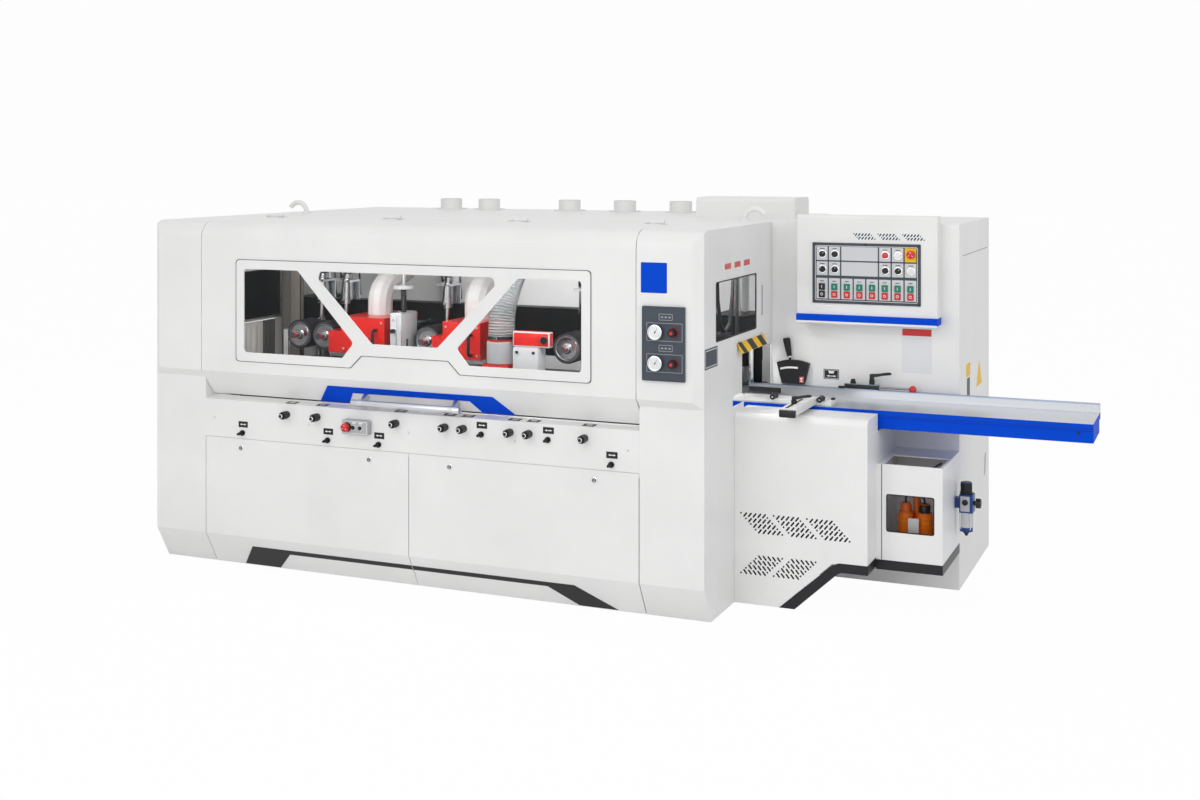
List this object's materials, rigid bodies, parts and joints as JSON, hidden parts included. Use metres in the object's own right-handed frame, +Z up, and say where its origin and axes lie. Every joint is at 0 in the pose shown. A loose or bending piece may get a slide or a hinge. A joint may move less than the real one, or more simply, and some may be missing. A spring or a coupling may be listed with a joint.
{
  "type": "four sided moulder",
  "caption": "Long enclosed woodworking moulder with a windowed lift-up hood, powered feed, spindles inside, blue infeed table with fence and a control cabinet at its end.",
  "frame": {"origin": "on the floor under the middle of the main body's footprint", "axes": "+X along the machine towards the infeed table, +Y from the doors to the back, +Z up"},
  "size_m": [3.9443, 1.948, 1.606],
  "materials": {
    "white": "satin powder coat",
    "blue": "satin powder coat",
    "red": "gloss paint",
    "black": "satin paint",
    "grey": "satin paint",
    "dark": "matt paint",
    "slate": "matt",
    "plastic": "matt",
    "red_plastic": "gloss",
    "iron": "machined",
    "steel": "ground",
    "chrome": "polished",
    "rubber": "ribbed",
    "hose": "clear ribbed",
    "clear": "clear",
    "amber": "gloss"
  },
  "bodies": {
    "machine": {"base_frame": "dark", "machine_bed": "iron", "spindle_motors": "grey", "end_cover_left": "white", "end_cover_right": "white", "roof_panel": "white", "rear_panel": "white", "roof_fittings": "white", "control_strip": "white", "lock_bolts": "black", "dust_ducts": "white", "flex_hose": "hose", "dust_hoods": "red", "gauge_panel": "slate", "electrical_cabinet": "white", "operator_housing": "white", "operator_panel": "slate", "infeed_cover": "white", "lube_cabinet": "white", "lubricator": "amber", "air_regulator": "slate", "lever_quadrant": "black", "side_window": "clear"},
    "hood": {"hood_shell": "white", "hood_frame": "white", "hood_pane": "clear", "hood_handle": "blue", "hood_hinges": "white"},
    "door_left": {"door_left": "white"},
    "door_right": {"door_right": "white"},
    "infeed_table": {"infeed_table": "blue"},
    "infeed_fence": {"infeed_fence": "steel", "fence_lever": "red_plastic"},
    "side_guide": {"side_guide": "white"},
    "guide_clamp": {"guide_clamp": "plastic"},
    "fence_clamp": {"fence_clamp": "plastic"},
    "depth_lever": {"depth_lever": "plastic"},
    "feed_beam": {"feed_beam": "black", "press_units": "steel"},
    "feed_roller_1": {"feed_roller_1": "steel"},
    "feed_roller_2": {"feed_roller_2": "steel"},
    "feed_roller_3": {"feed_roller_3": "steel"},
    "feed_roller_4": {"feed_roller_4": "steel"},
    "spindle_top_last": {"spindle_top_last": "steel"},
    "spindle_top_first": {"spindle_top_first": "steel"},
    "spindle_left": {"spindle_left": "steel"},
    "spindle_right": {"spindle_right": "steel"},
    "spindle_bottom": {"spindle_bottom": "steel"},
    "adjuster_1": {"adjuster_1": "plastic"},
    "adjuster_2": {"adjuster_2": "plastic"},
    "adjuster_3": {"adjuster_3": "plastic"},
    "adjuster_4": {"adjuster_4": "plastic"},
    "adjuster_5": {"adjuster_5": "plastic"},
    "adjuster_6": {"adjuster_6": "plastic"},
    "adjuster_7": {"adjuster_7": "plastic"},
    "adjuster_8": {"adjuster_8": "plastic"},
    "panel_estop": {"panel_estop": "red_plastic"},
    "front_estop": {"front_estop": "red_plastic"},
    "regulator_knob_upper": {"regulator_knob_upper": "plastic"},
    "regulator_knob_lower": {"regulator_knob_lower": "plastic"}
  },
  "joints": [
    {"name": "hood_hinge", "type": "hinge", "parent": "machine", "child": "hood", "pos_m": [0, -0.4965, 1.5245], "axis": [-1, 0, 0], "range_deg": [0, 80]},
    {"name": "door_left_pull", "type": "slide", "parent": "machine", "child": "door_left", "axis": [0, -1, 0], "range_m": [0, 0.15]},
    {"name": "door_right_pull", "type": "slide", "parent": "machine", "child": "door_right", "axis": [0, -1, 0], "range_m": [0, 0.15]},
    {"name": "table_rise", "type": "slide", "parent": "machine", "child": "infeed_table", "axis": [0, 0, 1], "range_m": [-0.004, 0.006]},
    {"name": "depth_lever_turn", "type": "hinge", "parent": "machine", "child": "depth_lever", "pos_m": [1.39, -0.051, 0.846], "axis": [0, 1, 0], "range_deg": [-16.1, 24.1]},
    {"name": "fence_shift", "type": "slide", "parent": "infeed_table", "child": "infeed_fence", "axis": [0, 1, 0], "range_m": [0, 0.008]},
    {"name": "fence_clamp_turn", "type": "hinge", "parent": "infeed_fence", "child": "fence_clamp", "pos_m": [1.74, -0.083, 0.86], "axis": [0, 0, 1], "range_deg": [-60, 25]},
    {"name": "guide_slide", "type": "slide", "parent": "infeed_table", "child": "side_guide", "axis": [0, 1, 0], "range_m": [-0.02, 0.12]},
    {"name": "guide_clamp_turn", "type": "hinge", "parent": "side_guide", "child": "guide_clamp", "pos_m": [1.52, -0.501, 0.82], "axis": [0, 0, 1], "range_deg": [-60, 60]},
    {"name": "feed_beam_rise", "type": "slide", "parent": "machine", "child": "feed_beam", "axis": [0, 0, 1], "range_m": [-0.09, 0.02]},
    {"name": "feed_roller_1_turn", "type": "hinge", "parent": "feed_beam", "child": "feed_roller_1", "pos_m": [-0.972, -0.135, 0.95], "axis": [0, 1, 0], "continuous": true},
    {"name": "feed_roller_2_turn", "type": "hinge", "parent": "feed_beam", "child": "feed_roller_2", "pos_m": [-0.832, -0.135, 0.95], "axis": [0, 1, 0], "continuous": true},
    {"name": "feed_roller_3_turn", "type": "hinge", "parent": "feed_beam", "child": "feed_roller_3", "pos_m": [-0.276, -0.135, 0.95], "axis": [0, 1, 0], "continuous": true},
    {"name": "feed_roller_4_turn", "type": "hinge", "parent": "feed_beam", "child": "feed_roller_4", "pos_m": [0.428, -0.135, 0.95], "axis": [0, 1, 0], "continuous": true},
    {"name": "spindle_top_last_turn", "type": "hinge", "parent": "machine", "child": "spindle_top_last", "pos_m": [-0.585, -0.135, 0.941], "axis": [0, 1, 0], "continuous": true},
    {"name": "spindle_top_first_turn", "type": "hinge", "parent": "machine", "child": "spindle_top_first", "pos_m": [-0.068, -0.135, 0.941], "axis": [0, 1, 0], "continuous": true},
    {"name": "spindle_bottom_turn", "type": "hinge", "parent": "machine", "child": "spindle_bottom", "pos_m": [0.81, -0.135, 0.72], "axis": [0, 1, 0], "continuous": true},
    {"name": "spindle_left_turn", "type": "hinge", "parent": "machine", "child": "spindle_left", "pos_m": [0.155, -0.39, 0.78], "axis": [0, 0, 1], "continuous": true},
    {"name": "spindle_right_turn", "type": "hinge", "parent": "machine", "child": "spindle_right", "pos_m": [0.57, -0.04, 0.78], "axis": [0, 0, 1], "continuous": true},
    {"name": "adjuster_1_turn", "type": "hinge", "parent": "machine", "child": "adjuster_1", "pos_m": [-0.595, -0.935, 0.692], "axis": [0, 1, 0], "continuous": true},
    {"name": "adjuster_2_turn", "type": "hinge", "parent": "machine", "child": "adjuster_2", "pos_m": [-0.441, -0.935, 0.692], "axis": [0, 1, 0], "continuous": true},
    {"name": "adjuster_3_turn", "type": "hinge", "parent": "machine", "child": "adjuster_3", "pos_m": [-0.056, -0.935, 0.692], "axis": [0, 1, 0], "continuous": true},
    {"name": "adjuster_4_turn", "type": "hinge", "parent": "machine", "child": "adjuster_4", "pos_m": [0.175, -0.935, 0.692], "axis": [0, 1, 0], "continuous": true},
    {"name": "adjuster_5_turn", "type": "hinge", "parent": "machine", "child": "adjuster_5", "pos_m": [0.26, -0.935, 0.692], "axis": [0, 1, 0], "continuous": true},
    {"name": "adjuster_6_turn", "type": "hinge", "parent": "machine", "child": "adjuster_6", "pos_m": [0.471, -0.935, 0.692], "axis": [0, 1, 0], "continuous": true},
    {"name": "adjuster_7_turn", "type": "hinge", "parent": "machine", "child": "adjuster_7", "pos_m": [0.555, -0.935, 0.692], "axis": [0, 1, 0], "continuous": true},
    {"name": "adjuster_8_turn", "type": "hinge", "parent": "machine", "child": "adjuster_8", "pos_m": [0.797, -0.935, 0.692], "axis": [0, 1, 0], "continuous": true},
    {"name": "panel_estop_press", "type": "slide", "parent": "machine", "child": "panel_estop", "axis": [0, 1, 0], "range_m": [0, 0.006]},
    {"name": "front_estop_press", "type": "slide", "parent": "machine", "child": "front_estop", "axis": [0, 1, 0], "range_m": [0, 0.006]},
    {"name": "regulator_knob_upper_turn", "type": "hinge", "parent": "machine", "child": "regulator_knob_upper", "pos_m": [1.183, -0.979, 1.128], "axis": [0, 1, 0], "continuous": true},
    {"name": "regulator_knob_lower_turn", "type": "hinge", "parent": "machine", "child": "regulator_knob_lower", "pos_m": [1.183, -0.979, 1.009], "axis": [0, 1, 0], "continuous": true}
  ],
  "couplings": [
    {"joint": "depth_lever_turn", "follows": "table_rise", "rad_per_m": 69.8},
    {"joint": "feed_roller_2_turn", "follows": "feed_roller_1_turn", "ratio": 1},
    {"joint": "feed_roller_3_turn", "follows": "feed_roller_1_turn", "ratio": 1},
    {"joint": "feed_roller_4_turn", "follows": "feed_roller_1_turn", "ratio": 1}
  ]
}
